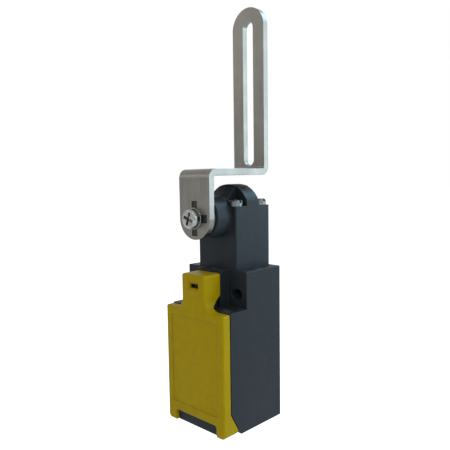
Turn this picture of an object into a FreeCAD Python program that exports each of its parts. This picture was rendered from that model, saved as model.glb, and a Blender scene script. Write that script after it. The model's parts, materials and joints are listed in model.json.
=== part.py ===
"""Lever-operated safety position switch: insulated enclosure, hinged cover, rotary head, slotted lever.

Frame, in millimetres: the origin lies on the mounting face, midway between the two mounting slots.
X runs across the enclosure, Y runs into the wall (the cover faces -Y) and Z runs up.
"""
import FreeCAD, Part
import math
import os

V = FreeCAD.Vector
AXIS_X, AXIS_Y, AXIS_Z = V(1, 0, 0), V(0, 1, 0), V(0, 0, 1)

# ---------------------------------------------------------------- driving sizes: enclosure
body_width = 31.0
body_height = 61.0
body_depth = 33.5             # mounting face to the front of the cover
body_edge = 0.8               # rounding of the long rear edges
body_rim = 0.4                # rounding round the top
side_wall = 3.4
back_wall = 2.2
roof_wall = 3.0
floor_wall = 7.0              # carries the cable entry thread
cavity_corner = 1.2
slot_drop = 9.0               # enclosure top to the mounting slots
slot_inset = 5.0              # enclosure side to the middle of a mounting slot
slot_diameter = 4.3
slot_travel = 1.0             # how much longer than wide each mounting slot is
well_depth = 13.0             # cover front to the rear wall of the screw wells
well_height = 14.2
top_wall = 2.2
nose_corner = 0.8
toe_corner = 0.6
toe_chamfer = 1.4             # slope under the hinge ears
entry_diameter = 18.376       # minor diameter of an M20 x 1.5 thread
entry_back = 13.5             # mounting face to the axis of the cable entry
entry_chamfer = 0.8

# ---------------------------------------------------------------- driving sizes: cover
cover_side_gap = 0.2          # how far the cover's sides stand inside the enclosure's
cover_wall = 1.8
cover_side_wall = 1.7
cover_skirt = 3.7             # depth of the cover's side walls
cover_lift = 0.3              # enclosure bottom to the cover's feet
cover_edge = 0.7
shoulder_gap = 0.3            # floor of the screw wells to the cover's shoulders
shoulder_corner = 0.6
neck_width = 12.1
neck_depth = 8.6
neck_drop = 0.9               # enclosure top to the top of the neck
neck_wall = 1.6
neck_corner = 0.9
neck_fillet = 4.2
neck_slope_start = 1.2        # shoulder to the foot of the neck's rear slope
neck_slope_rise = 4.0
notch_margin = 4.3            # cover side to the notch between the feet
notch_height = 4.5
notch_corner = 1.0
foot_corner = 1.6
ear_height = 8.9              # height where the ear's slope leaves the skirt
ear_radius = 1.5
pivot_setback = 6.05          # cover front to the hinge axis
pin_diameter = 2.0
pin_length = 1.3
pin_root = 0.5                # how far each pin is moulded into its ear
pin_end_gap = 0.2
panel_margin = 2.9
panel_low = 8.0
panel_drop = 3.1              # shoulder to the top of the panel
panel_depth = 0.3
panel_corner = 0.8
opener_drop = 4.5             # top of the neck to the screwdriver slot
opener_width = 4.4
opener_height = 1.7
opener_bevel = 0.8
joint_gap = 0.25              # clearance round the cover
hinge_clearance = 0.06
collar_setback = 2.6          # cover front to the face that carries the seal
collar_corner = 1.0
seal_width = 0.9
seal_inset = 0.15
seal_gap = 0.1

# ---------------------------------------------------------------- driving sizes: head
head_side = 20.0
ledge_height = 24.0           # enclosure top to the floor of the screw pockets
head_height = 32.4            # enclosure top to the ridge
dome_share = 1.1              # radius across the dome over half the head's side
hip_drop = 6.9                # how far the ridge falls towards the front and the back
head_edge = 0.6
rib_width = 8.0               # what the screw pockets leave between them
barrel_width = 7.0
head_screw_inset = 3.0
head_screw_diameter = 3.0
head_screw_length = 30.0
head_screw_head = 5.8
head_screw_head_height = 2.4
drill_runout = 0.5
screw_clearance = 0.2         # radial, round a through screw
thread_gap = 0.02             # radial, round a screw in its own thread
axis_height = 20.0            # enclosure top to the lever axis
boss_diameter = 16.2
boss_setback = 5.7            # cover front to the boss's front
boss_root = 3.5               # how far the boss is carried into the head
boss_edge = 0.5
gasket_margin = 1.2
gasket_thickness = 0.8
gasket_gap = 0.05
gasket_corner = 1.0

# ---------------------------------------------------------------- driving sizes: lever drive
shaft_diameter = 8.0
shaft_clearance = 0.05
shaft_chamfer = 0.4
bush_wall = 1.2
bush_length = 6.5
shaft_seal_width = 1.8
shaft_seal_chamfer = 0.4
cam_seat_diameter = 6.0
cam_flat = 0.6
cam_thickness = 5.0
journal_diameter = 5.0
journal_length = 3.6
journal_end_gap = 0.3
clip_thickness = 0.6
clip_width = 1.8              # radial
clip_mouth = 2.4
groove_depth = 0.8
cam_base = 3.8                # axis to the cam's flat
cam_stroke = 3.5              # lift over the lever's full swing
lever_swing = 90.0            # degrees
flank_points = 7
chamber_gap = 0.55            # running space round the cam
chamber_side_gap = 1.4        # running space beside the cam
hub_diameter = 15.0
hub_thickness = 1.2
hub_chamfer = 0.3
hub_gap = 0.1
dog_side = 2.7
dog_radius = 5.1
dog_recess = 0.3

# ---------------------------------------------------------------- driving sizes: lever
lever_width = 16.0
lever_thickness = 2.5
lever_setback = 1.65          # cover front to the front of the lower plate
lever_bend = 1.0              # inside bend radius
lever_rise = 18.35            # lever axis to the top of the web
lever_inset = 0.5             # mounting face to the front of the slotted plate
lever_height = 63.85          # top of the web to the tip of the slotted plate
lever_slot = 5.3
lever_slot_start = 1.25       # top of the web to the lower end of the slot
window_side = 2.9
lever_screw_diameter = 4.0
lever_screw_length = 10.0
lever_screw_head = 7.6
lever_screw_head_height = 2.7
washer_diameter = 8.0
washer_thickness = 0.6
washer_split = 0.5
washer_turn = 35.0            # degrees

# ---------------------------------------------------------------- driving sizes: ram
ram_diameter = 5.0
ram_head_length = 10.0
ram_head_height = 1.8
ram_side_gap = 0.1            # how far the ram's head stands inside the cam's sides
ram_reach = 2.5               # enclosure top to the ram's tip
ram_tip_edge = 0.8
ram_hole_gap = 0.6
cam_gap = 0.05
guide_height = 5.6
guide_length = 15.6
guide_width = 7.4
guide_corner = 0.6
running_gap = 0.05            # radial, ram in its guide
spring_wire = 0.6
spring_gap = 0.3              # radial, round a spring in its seat
ram_spring_diameter = 7.0
ram_spring_turns = 3.0

# ---------------------------------------------------------------- driving sizes: contacts
carrier_width = 7.6
carrier_depth = 7.4
carrier_corner = 0.5
carrier_gap = 0.2
carrier_seat = 1.6            # depth of the return spring's seat in the carrier
window_wall = 1.05            # carrier wall beside its windows
bridge_length = 17.0
bridge_width = 4.8
bridge_thickness = 0.7
bridge_corner = 1.0
rivet_diameter = 3.0
rivet_height = 0.6
rivet_spacing = 14.6
contact_spring_diameter = 3.4
contact_spring_turns = 2.0
contact_spring_length = 3.7
contact_gap = 0.1
break_drop = 20.3             # enclosure top to the face of the opening contacts
contact_spacing = 18.8        # between the faces of the opening and the closing contacts
strip_width = 5.0
strip_thickness = 0.8
strip_end = 0.4
terminal_setback = 10.8       # cover front to the terminal plates' seat
terminal_height = 8.4
terminal_width = 7.2
terminal_spacing = 15.2
terminal_screw_diameter = 3.5
terminal_screw_length = 7.0
terminal_screw_head = 6.2
terminal_screw_head_height = 2.2
clamp_side = 6.8
clamp_thickness = 0.9
block_rise = 4.4              # foot of the mouldings to the closing contacts
block_gap = 0.15
chamber_depth = 16.1          # mounting face to the joint between terminal block and contact chamber
rib_reach = 5.2               # how far the barrier ribs stand ahead of the terminal seat
rib_thickness = 1.6
chamber_room = 0.4            # room round the moving contacts
carrier_floor = 1.0
return_spring_diameter = 5.6
return_spring_turns = 3.5
cup_diameter = 8.6
cup_depth = 5.9
cup_floor = 1.2

# ---------------------------------------------------------------- proportions and cutting tools
wire_flats = 6
screw_edge = 0.2              # bevel over head height
groove_share = 0.18           # screwdriver groove's width over head diameter
groove_sink = 0.45            # its depth over head height
cross_reach = 0.33            # cross recess: arm over head diameter
cross_width = 0.15
cross_sink = 0.55
cross_turn = 20.0             # degrees
round_share = 0.45            # lever screw: rounding over head height
slack = 1.0                   # overshoot of cutting tools

# ---------------------------------------------------------------- datums
top = slot_drop
bottom = top - body_height
front = -body_depth
half_width = body_width / 2
slot_spacing = body_width - 2 * slot_inset
well_floor = top - well_height
well_back = front + well_depth
collar_front = front + collar_setback
cavity_half = half_width - side_wall
cavity_floor = bottom + floor_wall
cavity_top = well_floor - roof_wall
cavity_back = -back_wall
cover_half = half_width - cover_side_gap
cover_bottom = bottom + cover_lift
cover_inner_half = cover_half - cover_side_wall
shoulder = well_floor - shoulder_gap
skirt_back = front + cover_skirt
collar_half = cover_inner_half - joint_gap
collar_low = bottom + notch_height + 2 * joint_gap
collar_high = shoulder - cover_side_wall - joint_gap
notch_half = cover_half - notch_margin
neck_half = neck_width / 2
neck_top = top - neck_drop
neck_hollow_top = neck_top - cover_side_wall
pivot_y = front + pivot_setback
pivot_z = cover_bottom + ear_radius
axis_z = top + axis_height
head_front = -head_side
head_half = head_side / 2
head_mid = -head_half
dome_radius = head_half * dome_share
ledge = top + ledge_height
ridge = top + head_height
screw_reach = head_half - head_screw_inset
boss_front = front + boss_setback
cam_slope = cam_stroke / math.radians(lever_swing)
cam_radius = math.hypot(cam_base + cam_stroke, cam_slope)
cam_front = head_mid - cam_thickness / 2
chamber_radius = cam_radius + chamber_gap
chamber_half = cam_thickness / 2 + chamber_side_gap
chamber_front = head_mid - chamber_half
chamber_back = head_mid + chamber_half
bush_front = boss_front + shaft_seal_width + shaft_clearance
bush_outer = shaft_diameter + 2 * (shaft_clearance + bush_wall)
clip_front = chamber_front + journal_end_gap
clip_bore = shaft_diameter - 2 * groove_depth
lever_front = front + lever_setback
shaft_front = lever_front + lever_thickness + hub_gap
ram_top = axis_z - cam_base - cam_gap
ram_tip = top - ram_reach
guide_low = top + gasket_thickness + 2 * gasket_gap
guide_top = guide_low + guide_height
break_z = top - break_drop
make_z = break_z - contact_spacing
carrier_foot = make_z + rivet_height
carrier_top = ram_tip - contact_gap
break_bridge_low = break_z - contact_gap - rivet_height - bridge_thickness
make_bridge_low = make_z + cam_stroke + contact_gap + rivet_height
terminal_seat = front + terminal_setback
plate_front = terminal_seat - strip_thickness
break_terminal_z = break_z - rivet_height - terminal_height / 2 + strip_thickness + 2 * contact_gap
make_terminal_z = make_z + terminal_height / 2 - strip_thickness - contact_gap
block_split = -chamber_depth
block_half = cavity_half - block_gap
block_foot = make_z - block_rise
block_top = cavity_top - block_gap
cup_low = block_foot - cup_depth
spring_seat = cup_low + cup_floor
SIDES = (-1, 1)
HEAD_CORNERS = [(sx * screw_reach, head_mid + sy * screw_reach) for sx in SIDES for sy in SIDES]
WINDOWS = [(sx * dog_radius, axis_z + sz * dog_radius) for sx, sz in ((1, 0), (-1, 0), (0, 1), (0, -1))]
TERMINALS = [(side * terminal_spacing / 2, z) for z in (break_terminal_z, make_terminal_z) for side in SIDES]


# ---------------------------------------------------------------- helpers
def box(x0, x1, y0, y1, z0, z1):
    return Part.makeBox(x1 - x0, y1 - y0, z1 - z0, V(x0, y0, z0))


def centred(half_x, y0, y1, z0, z1):
    return box(-half_x, half_x, y0, y1, z0, z1)


def rod(diameter, start, length, axis):
    return Part.makeCylinder(diameter / 2, length, start, axis)


def prism_x(outline, x0, x1):
    """Solid from an outline of (y, z) points, carried from x0 to x1."""
    wire = Part.makePolygon([V(x0, y, z) for y, z in outline + outline[:1]])
    return Part.Face(wire).extrude(V(x1 - x0, 0, 0))


def prism_y(outline, y0, y1):
    """Solid from an outline of (x, z) points, carried from y0 to y1."""
    wire = Part.makePolygon([V(x, y0, z) for x, z in outline + outline[:1]])
    return Part.Face(wire).extrude(V(0, y1 - y0, 0))


def same(a, b):
    return abs(a - b) < 1e-4


def edges_along(shape, axis, where=lambda centre: True):
    """Straight edges of a shape that run along an axis and whose middle passes a test."""
    found = []
    for edge in shape.Edges:
        if len(edge.Vertexes) != 2 or edge.Curve.TypeId != "Part::GeomLine":
            continue
        run = edge.Vertexes[1].Point.sub(edge.Vertexes[0].Point)
        if run.Length > 1e-6 and same(abs(run.normalize().dot(axis)), 1) and where(edge.CenterOfMass):
            found.append(edge)
    return found


def rounded(shape, radius, edges):
    return shape.makeFillet(radius, edges) if edges else shape


def on_plane(shape, axis_name, level):
    """Edges of a shape that lie in the plane where one coordinate equals the level."""
    low, high = axis_name + "Min", axis_name + "Max"
    return [e for e in shape.Edges
            if same(getattr(e.BoundBox, low), level) and same(getattr(e.BoundBox, high), level)]


def joined(shapes):
    return shapes[0].multiFuse(shapes[1:]).removeSplitter()


def slot_y(centre_x, centre_z, diameter, travel, y0, y1):
    """Cutting tool for a slot through Y whose length runs along X."""
    radius = diameter / 2
    ends = [rod(diameter, V(centre_x + side * travel / 2, y0, centre_z), y1 - y0, AXIS_Y) for side in SIDES]
    middle = box(centre_x - travel / 2, centre_x + travel / 2, y0, y1, centre_z - radius, centre_z + radius)
    return joined(ends + [middle])


def coil(mean_diameter, turns, foot_z, length):
    """Helical spring on the ram's axis that fills `length` above `foot_z`, its wire drawn with flats."""
    rise = length - spring_wire
    helix = Part.makeHelix(rise / turns, rise, mean_diameter / 2)
    corners = []
    for i in range(wire_flats):
        turn = math.pi / 2 + 2 * math.pi * i / wire_flats
        corners.append(V((mean_diameter + spring_wire * math.cos(turn)) / 2, 0,
                         spring_wire / 2 * math.sin(turn)))
    section = Part.makePolygon(corners + corners[:1])
    spring = Part.Wire(helix.Edges).makePipeShell([section], True, True)
    spring.translate(V(0, head_mid, foot_z + spring_wire / 2))
    return spring


def slotted_screw(diameter, length, head_diameter, head_height, seat, out):
    """Cheese-head screw: `seat` is under the head, `out` points from the shank to the head."""
    crown = seat + out * head_height
    head = rod(head_diameter, seat, head_height, out)
    head = head.makeChamfer(head_height * screw_edge,
                            [e for e in head.Edges if same((e.CenterOfMass - crown).Length, 0)])
    shank = rod(diameter, seat - out * length, length, out)
    across = AXIS_X if same(abs(out.z), 1) else AXIS_Z
    along = out.cross(across)
    half_reach, half_groove = head_diameter / 2 + slack, head_diameter * groove_share / 2
    floor = crown - out * head_height * groove_sink
    corners = [floor + across * (sx * half_reach) + along * (sy * half_groove)
               for sx, sy in ((-1, -1), (1, -1), (1, 1), (-1, 1))]
    groove = Part.Face(Part.makePolygon(corners + corners[:1])).extrude(out * head_height)
    return head.fuse(shank).cut(groove)


def ear_tangent(radius, start):
    """Point where a line from `start` (y, z) touches the rear of a circle about the hinge axis."""
    dy, dz = start[0] - pivot_y, start[1] - pivot_z
    turn = math.atan2(dz, dy) - math.acos(radius / math.hypot(dy, dz))
    return pivot_y + radius * math.cos(turn), pivot_z + radius * math.sin(turn)


# ---------------------------------------------------------------- enclosure
def enclosure_body():
    skirt_face = skirt_back + joint_gap
    lower = box(-half_width, half_width, skirt_face, 0, bottom, well_floor)
    upper = box(-half_width, half_width, well_back, 0, well_floor - slack, top)
    shell = joined([lower, upper])
    shell = rounded(shell, body_edge, edges_along(shell, AXIS_Z, lambda c: same(c.y, 0)))
    rim = [e for e in on_plane(shell, "Z", top) if not same(e.CenterOfMass.y, well_back)]
    shell = rounded(shell, body_rim, rim)

    # The column between the screw wells, with a slimmer nose inside the cover's neck.
    column = centred(neck_half, front + neck_depth + joint_gap, well_back + slack, well_floor - slack, top)
    nose_half = neck_half - neck_wall - joint_gap
    nose = centred(nose_half, front + cover_wall + 2 * joint_gap, well_back, well_floor - slack,
                   neck_hollow_top - joint_gap)
    nose = rounded(nose, nose_corner, edges_along(
        nose, AXIS_X, lambda c: c.z > well_floor and c.y < well_back - slack))
    collar = centred(collar_half, collar_front, skirt_face + slack, collar_low, collar_high)
    collar = rounded(collar, collar_corner, edges_along(collar, AXIS_Y))
    toe = centred(notch_half - joint_gap, front + cover_wall - joint_gap, skirt_face + slack,
                  bottom, bottom + notch_height - joint_gap)
    toe = rounded(toe, toe_corner, edges_along(
        toe, AXIS_X, lambda c: c.y < skirt_face and same(c.z, bottom)))
    shell = joined([shell, column, nose, collar, toe])

    cavity = centred(cavity_half, front - slack, cavity_back, cavity_floor, cavity_top)
    cavity = rounded(cavity, cavity_corner, edges_along(cavity, AXIS_Y))
    half_x, half_y = carrier_width / 2 + 2 * carrier_gap, carrier_depth / 2 + 2 * carrier_gap
    channel = centred(half_x, head_mid - half_y, head_mid + half_y, cavity_top - slack, top - top_wall)
    ram_hole = rod(ram_diameter + 2 * ram_hole_gap, V(0, head_mid, top - top_wall - slack),
                   top_wall + 2 * slack, AXIS_Z)
    entry_axis = V(0, -entry_back, bottom)
    entry = rod(entry_diameter, entry_axis - AXIS_Z * slack, floor_wall + 2 * slack, AXIS_Z)
    mouth = Part.makeCone(entry_diameter / 2 + entry_chamfer, entry_diameter / 2, entry_chamfer,
                          entry_axis, AXIS_Z)
    tools = [cavity, channel, ram_hole, entry, mouth]
    for side in SIDES:
        tools.append(slot_y(side * slot_spacing / 2, 0, slot_diameter, slot_travel, well_back - slack, slack))
        tools.append(ear_recess(side))
    grip = head_screw_length - ledge_height + drill_runout
    for x, y in HEAD_CORNERS:
        tools.append(rod(head_screw_diameter + 2 * thread_gap, V(x, y, top - grip), grip + slack, AXIS_Z))
    return shell.cut(tools).removeSplitter()


def ear_recess(side):
    """Room for one ear of the cover in the enclosure's side, with the blind hole for its pin."""
    radius = ear_radius + joint_gap
    start = (skirt_back + joint_gap, bottom + ear_height + joint_gap)
    rear = pivot_y + radius
    outline = [start, ear_tangent(radius, start), (rear, pivot_z), (rear, bottom + toe_chamfer),
               (rear + toe_chamfer + slack, bottom - slack), (front - slack, bottom - slack),
               (front - slack, start[1])]
    x0, x1 = sorted((side * collar_half, side * (half_width + slack)))
    room = joined([prism_x(outline, x0, x1), rod(2 * radius, V(x0, pivot_y, pivot_z), x1 - x0, AXIS_X)])
    depth = pin_length + pin_end_gap
    hole = rod(pin_diameter + 2 * hinge_clearance, V(side * (cover_inner_half - depth), pivot_y, pivot_z),
               depth, AXIS_X * side)
    return room.fuse(hole)


# ---------------------------------------------------------------- cover
def front_cover():
    notch_top = bottom + notch_height
    outline = [(-cover_half, cover_bottom), (-notch_half, cover_bottom), (-notch_half, notch_top),
               (notch_half, notch_top), (notch_half, cover_bottom), (cover_half, cover_bottom),
               (cover_half, shoulder), (neck_half, shoulder), (neck_half, neck_top),
               (-neck_half, neck_top), (-neck_half, shoulder), (-cover_half, shoulder)]
    plate = prism_y(outline, front, front + neck_depth)
    for radius, x, z in ((neck_fillet, neck_half, shoulder), (notch_corner, notch_half, notch_top),
                         (foot_corner, cover_half, cover_bottom), (neck_corner, neck_half, neck_top),
                         (shoulder_corner, cover_half, shoulder)):
        plate = rounded(plate, radius, edges_along(
            plate, AXIS_Y, lambda c: same(abs(c.x), x) and same(c.z, z)))

    # The side view: feet with rounded ears, the skirt, and the neck that slopes back to its full depth.
    start = (skirt_back, bottom + ear_height)
    slope_foot = shoulder + neck_slope_start
    side_view = [(front, cover_bottom), (pivot_y, cover_bottom), (pivot_y, pivot_z),
                 ear_tangent(ear_radius, start), start, (skirt_back, slope_foot),
                 (front + neck_depth, slope_foot + neck_slope_rise), (front + neck_depth, neck_top),
                 (front, neck_top)]
    profile = joined([prism_x(side_view, -cover_half, cover_half),
                      rod(2 * ear_radius, V(-cover_half, pivot_y, pivot_z), 2 * cover_half, AXIS_X)])
    cover = plate.common(profile)
    cover = rounded(cover, cover_edge, on_plane(cover, "Y", front))

    inside = front + cover_wall
    hollow = centred(cover_inner_half, inside, 0, bottom - slack, shoulder - cover_side_wall)
    neck_hollow = centred(neck_half - neck_wall, inside, 0, shoulder - cover_side_wall - slack,
                          neck_hollow_top)
    panel = centred(cover_half - panel_margin, front - slack, front + panel_depth, bottom + panel_low,
                    shoulder - panel_drop)
    panel = rounded(panel, panel_corner, edges_along(panel, AXIS_Y))
    cover = cover.cut([hollow, neck_hollow, panel, opener_slot()])
    pins = [rod(pin_diameter, V(side * (cover_inner_half + pin_root), pivot_y, pivot_z),
                pin_length + pin_root, AXIS_X * -side) for side in SIDES]
    return joined([cover] + pins)


def opener_slot():
    """Screwdriver slot with a bevelled mouth."""
    half_x, half_z = opener_width / 2, opener_height / 2
    z = neck_top - opener_drop
    through = centred(half_x, front - slack, front + cover_wall + slack, z - half_z, z + half_z)
    rings = []
    for grow, y in ((opener_bevel, front), (0, front + opener_bevel)):
        wide, high = half_x + grow, half_z + grow
        corners = [V(-wide, y, z - high), V(wide, y, z - high), V(wide, y, z + high), V(-wide, y, z + high)]
        rings.append(Part.makePolygon(corners + corners[:1]))
    return through.fuse(Part.makeLoft(rings, True, True))


def cover_seal():
    def frame(inset, y0, y1):
        shape = centred(collar_half - inset, y0, y1, collar_low + inset, collar_high - inset)
        return rounded(shape, collar_corner - inset / 2, edges_along(shape, AXIS_Y))

    face = front + cover_wall + seal_gap
    return frame(seal_inset, face, collar_front).cut(
        frame(seal_inset + seal_width, face - slack, collar_front + slack))


# ---------------------------------------------------------------- head
def operating_head():
    flat_top = ridge - dome_radius + math.sqrt(dome_radius ** 2 - head_half ** 2)
    start, end = V(head_half, head_front, flat_top), V(-head_half, head_front, flat_top)
    crown = Part.Arc(start, V(0, head_front, ridge), end).toShape()
    walls = Part.makePolygon([end, V(-head_half, head_front, top), V(head_half, head_front, top), start])
    block = Part.Face(Part.Wire([crown] + walls.Edges)).extrude(V(0, head_side, 0))
    block = rounded(block, head_edge, edges_along(block, AXIS_Z, lambda c: same(abs(c.x), head_half)))

    # The ridge falls at 45 degrees to the front and the back.
    hip = [(head_front - slack, ridge - hip_drop - slack), (head_front - slack, ridge + slack),
           (head_front + hip_drop + slack, ridge + slack)]
    front_hip = prism_x(hip, -head_side, head_side)
    block = block.cut([front_hip, front_hip.mirror(V(0, head_mid, 0), AXIS_Y)])
    boss = rod(boss_diameter, V(0, boss_front, axis_z), head_front - boss_front + boss_root, AXIS_Y)
    boss = boss.makeChamfer(boss_edge, on_plane(boss, "Y", boss_front))
    block = block.fuse(boss)

    # A pocket at each corner leaves a barrel across the head and a rib along it.
    tools = []
    for sx in SIDES:
        x0, x1 = sorted((sx * rib_width / 2, sx * head_side))
        for y0, y1 in ((head_front, head_mid - barrel_width / 2), (head_mid + barrel_width / 2, slack)):
            tools.append(box(x0, x1, y0, y1, ledge, ridge + slack))
    for x, y in HEAD_CORNERS:
        tools.append(rod(head_screw_diameter + 2 * screw_clearance, V(x, y, top - slack),
                         ledge_height + 2 * slack, AXIS_Z))

    # Inside: the bush seat, the cam chamber, the rear bearing and the seats of guide and gasket.
    seat_back = bush_front + bush_length
    tools.append(rod(bush_outer + 2 * thread_gap, V(0, boss_front - slack, axis_z),
                     seat_back - boss_front + slack, AXIS_Y))
    tools.append(rod(shaft_diameter + 2 * screw_clearance, V(0, boss_front, axis_z),
                     chamber_front - boss_front + slack, AXIS_Y))
    tools.append(rod(2 * chamber_radius, V(0, chamber_front, axis_z), 2 * chamber_half, AXIS_Y))
    tools.append(centred(chamber_radius, chamber_front, chamber_back, top - slack, axis_z))
    tools.append(rod(journal_diameter + 2 * shaft_clearance, V(0, chamber_back - slack, axis_z),
                     journal_length + slack + journal_end_gap, AXIS_Y))
    half_seat = head_half - gasket_margin + gasket_gap
    tools.append(centred(half_seat, head_mid - half_seat, head_mid + half_seat, top - slack,
                         top + gasket_thickness + gasket_gap))
    return block.cut(tools).removeSplitter()


def head_gasket():
    half = head_half - gasket_margin
    plate = centred(half, head_mid - half, head_mid + half, top, top + gasket_thickness)
    plate = rounded(plate, gasket_corner, edges_along(plate, AXIS_Z))
    start, length = top - slack, gasket_thickness + 2 * slack
    holes = [rod(head_screw_diameter + 2 * screw_clearance, V(x, y, start), length, AXIS_Z)
             for x, y in HEAD_CORNERS]
    holes.append(rod(ram_diameter + 2 * ram_hole_gap, V(0, head_mid, start), length, AXIS_Z))
    return plate.cut(holes)


def head_screws():
    return Part.makeCompound([
        slotted_screw(head_screw_diameter, head_screw_length, head_screw_head, head_screw_head_height,
                      V(x, y, ledge), AXIS_Z) for x, y in HEAD_CORNERS])


def shaft_ring(y, length):
    """Plain ring between the shaft and the bore in the boss."""
    ring = rod(bush_outer, V(0, y, axis_z), length, AXIS_Y)
    bore = rod(shaft_diameter + 2 * shaft_clearance, V(0, y - slack, axis_z), length + 2 * slack, AXIS_Y)
    return ring.cut(bore)


def shaft_bush():
    return shaft_ring(bush_front, bush_length)


def shaft_seal():
    ring = shaft_ring(boss_front, shaft_seal_width)
    return ring.makeChamfer(shaft_seal_chamfer, on_plane(ring, "Y", boss_front))


# ---------------------------------------------------------------- lever drive
def lever_shaft():
    main = rod(shaft_diameter, V(0, shaft_front, axis_z), cam_front - shaft_front, AXIS_Y)
    seat = rod(cam_seat_diameter, V(0, cam_front, axis_z), chamber_back - cam_front, AXIS_Y)
    flat = box(-cam_seat_diameter, cam_seat_diameter, cam_front, chamber_back + slack,
               axis_z + cam_seat_diameter / 2 - cam_flat, axis_z + cam_seat_diameter)
    journal = rod(journal_diameter, V(0, chamber_back - slack, axis_z), journal_length + slack, AXIS_Y)
    clip_start = V(0, clip_front, axis_z)
    groove = rod(shaft_diameter + slack, clip_start, clip_thickness, AXIS_Y)
    groove = groove.cut(rod(clip_bore, clip_start, clip_thickness, AXIS_Y))
    thread = rod(lever_screw_diameter + 2 * thread_gap, V(0, shaft_front - slack, axis_z),
                 lever_screw_length + slack, AXIS_Y)
    shaft = joined([main, seat.cut(flat), journal])
    shaft = shaft.makeChamfer(shaft_chamfer, on_plane(shaft, "Y", chamber_back + journal_length))
    return shaft.cut([groove, thread])


def shaft_clip():
    """Retaining ring, open towards the top."""
    bore = clip_bore + 2 * thread_gap
    outer = bore + 2 * clip_width
    ring = rod(outer, V(0, clip_front, axis_z), clip_thickness, AXIS_Y)
    ring = ring.cut(rod(bore, V(0, clip_front - slack, axis_z), clip_thickness + 2 * slack, AXIS_Y))
    return ring.cut(centred(clip_mouth / 2, clip_front - slack, clip_front + clip_thickness + slack,
                            axis_z, axis_z + outer))


def lever_hub():
    """Driver disc whose four square dogs reach through the lever's windows."""
    disc = rod(hub_diameter, V(0, shaft_front, axis_z), hub_thickness, AXIS_Y)
    disc = disc.makeChamfer(hub_chamfer, on_plane(disc, "Y", shaft_front + hub_thickness))
    half = dog_side / 2
    dogs = [box(x - half, x + half, lever_front + dog_recess, shaft_front + hub_thickness / 2,
                z - half, z + half) for x, z in WINDOWS]
    bore = rod(shaft_diameter + 2 * thread_gap, V(0, shaft_front - slack, axis_z),
               hub_thickness + 2 * slack, AXIS_Y)
    return joined([disc] + dogs).cut(bore)


def cam():
    """Flat at rest, then an involute on each side, so that the lift is proportional to the swing."""
    def flank(side):
        points = []
        for i in range(flank_points):
            turn = math.radians(lever_swing) * i / (flank_points - 1)
            lift = cam_base + cam_slope * turn
            x = lift * math.sin(turn) + cam_slope * math.cos(turn)
            z = -lift * math.cos(turn) + cam_slope * math.sin(turn)
            points.append(V(side * x, cam_front, axis_z + z))
        curve = Part.BSplineCurve()
        curve.interpolate(points)
        return curve.toShape(), points[0], points[-1]

    right, right_low, right_high = flank(1)
    left, left_low, left_high = flank(-1)
    crown = Part.Arc(right_high, V(0, cam_front, axis_z + cam_radius), left_high).toShape()
    flat = Part.LineSegment(left_low, right_low).toShape()
    disc = Part.Face(Part.Wire(Part.sortEdges([right, crown, left, flat])[0])).extrude(V(0, cam_thickness, 0))
    start, length = cam_front - slack, cam_thickness + 2 * slack
    bore = rod(cam_seat_diameter + 2 * thread_gap, V(0, start, axis_z), length, AXIS_Y)
    key = box(-cam_seat_diameter, cam_seat_diameter, start, start + length,
              axis_z + cam_seat_diameter / 2 - cam_flat + thread_gap, axis_z + cam_seat_diameter)
    return disc.cut(bore.cut(key))


# ---------------------------------------------------------------- lever
def lever_section():
    """Side view of the strip, a Z with round bends: plate on the hub, web over the head, slotted plate."""
    t, inner, outer = lever_thickness, lever_bend, lever_bend + lever_thickness
    low_front, low_back = lever_front, lever_front + lever_thickness
    up_front, up_back = -lever_inset, lever_thickness - lever_inset
    web_top = axis_z + lever_rise
    web_low = web_top - t
    half = lever_width / 2
    foot, tip = axis_z - half, web_top + lever_height

    def bend(centre_y, centre_z, radius, start_angle):
        turns = [math.radians(start_angle + step) for step in (0, 45, 90)]
        return Part.Arc(*[V(-half, centre_y + radius * math.cos(a), centre_z + radius * math.sin(a))
                          for a in turns]).toShape()

    arcs = [bend(low_front + outer, web_top - outer, outer, 90),
            bend(up_front - inner, web_top + inner, inner, 270),
            bend(up_back - outer, web_low + outer, outer, 270),
            bend(low_back + inner, web_low - inner, inner, 90)]
    runs = [(low_front, foot, low_front, web_top - outer),
            (low_front + outer, web_top, up_front - inner, web_top),
            (up_front, web_top + inner, up_front, tip), (up_front, tip, up_back, tip),
            (up_back, tip, up_back, web_low + outer), (up_back - outer, web_low, low_back + inner, web_low),
            (low_back, web_low - inner, low_back, foot), (low_back, foot, low_front, foot)]
    lines = [Part.LineSegment(V(-half, y0, z0), V(-half, y1, z1)).toShape() for y0, z0, y1, z1 in runs]
    return Part.Face(Part.Wire(Part.sortEdges(lines + arcs)[0]))


def stadium(diameter, y0, y1, z0, z1):
    """Upright slot shape through Y, between two end centres."""
    ends = [rod(diameter, V(0, y0, z), y1 - y0, AXIS_Y) for z in (z0, z1)]
    return joined([centred(diameter / 2, y0, y1, z0, z1)] + ends)


def slotted_lever():
    web_top = axis_z + lever_rise
    tip_centre = web_top + lever_height - lever_width / 2
    plate_back = lever_thickness - lever_inset + slack
    strip = lever_section().extrude(V(lever_width, 0, 0))
    strip = strip.common(stadium(lever_width, lever_front - slack, plate_back, axis_z, tip_centre))
    tools = [stadium(lever_slot, -lever_inset - slack, plate_back,
                     web_top + lever_slot_start + lever_slot / 2, tip_centre)]
    start, through = lever_front - slack, lever_thickness + 2 * slack
    tools.append(rod(lever_screw_diameter + 2 * screw_clearance, V(0, start, axis_z), through, AXIS_Y))
    half = window_side / 2
    for x, z in WINDOWS:
        tools.append(box(x - half, x + half, start, start + through, z - half, z + half))
    return strip.cut(tools)


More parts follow.
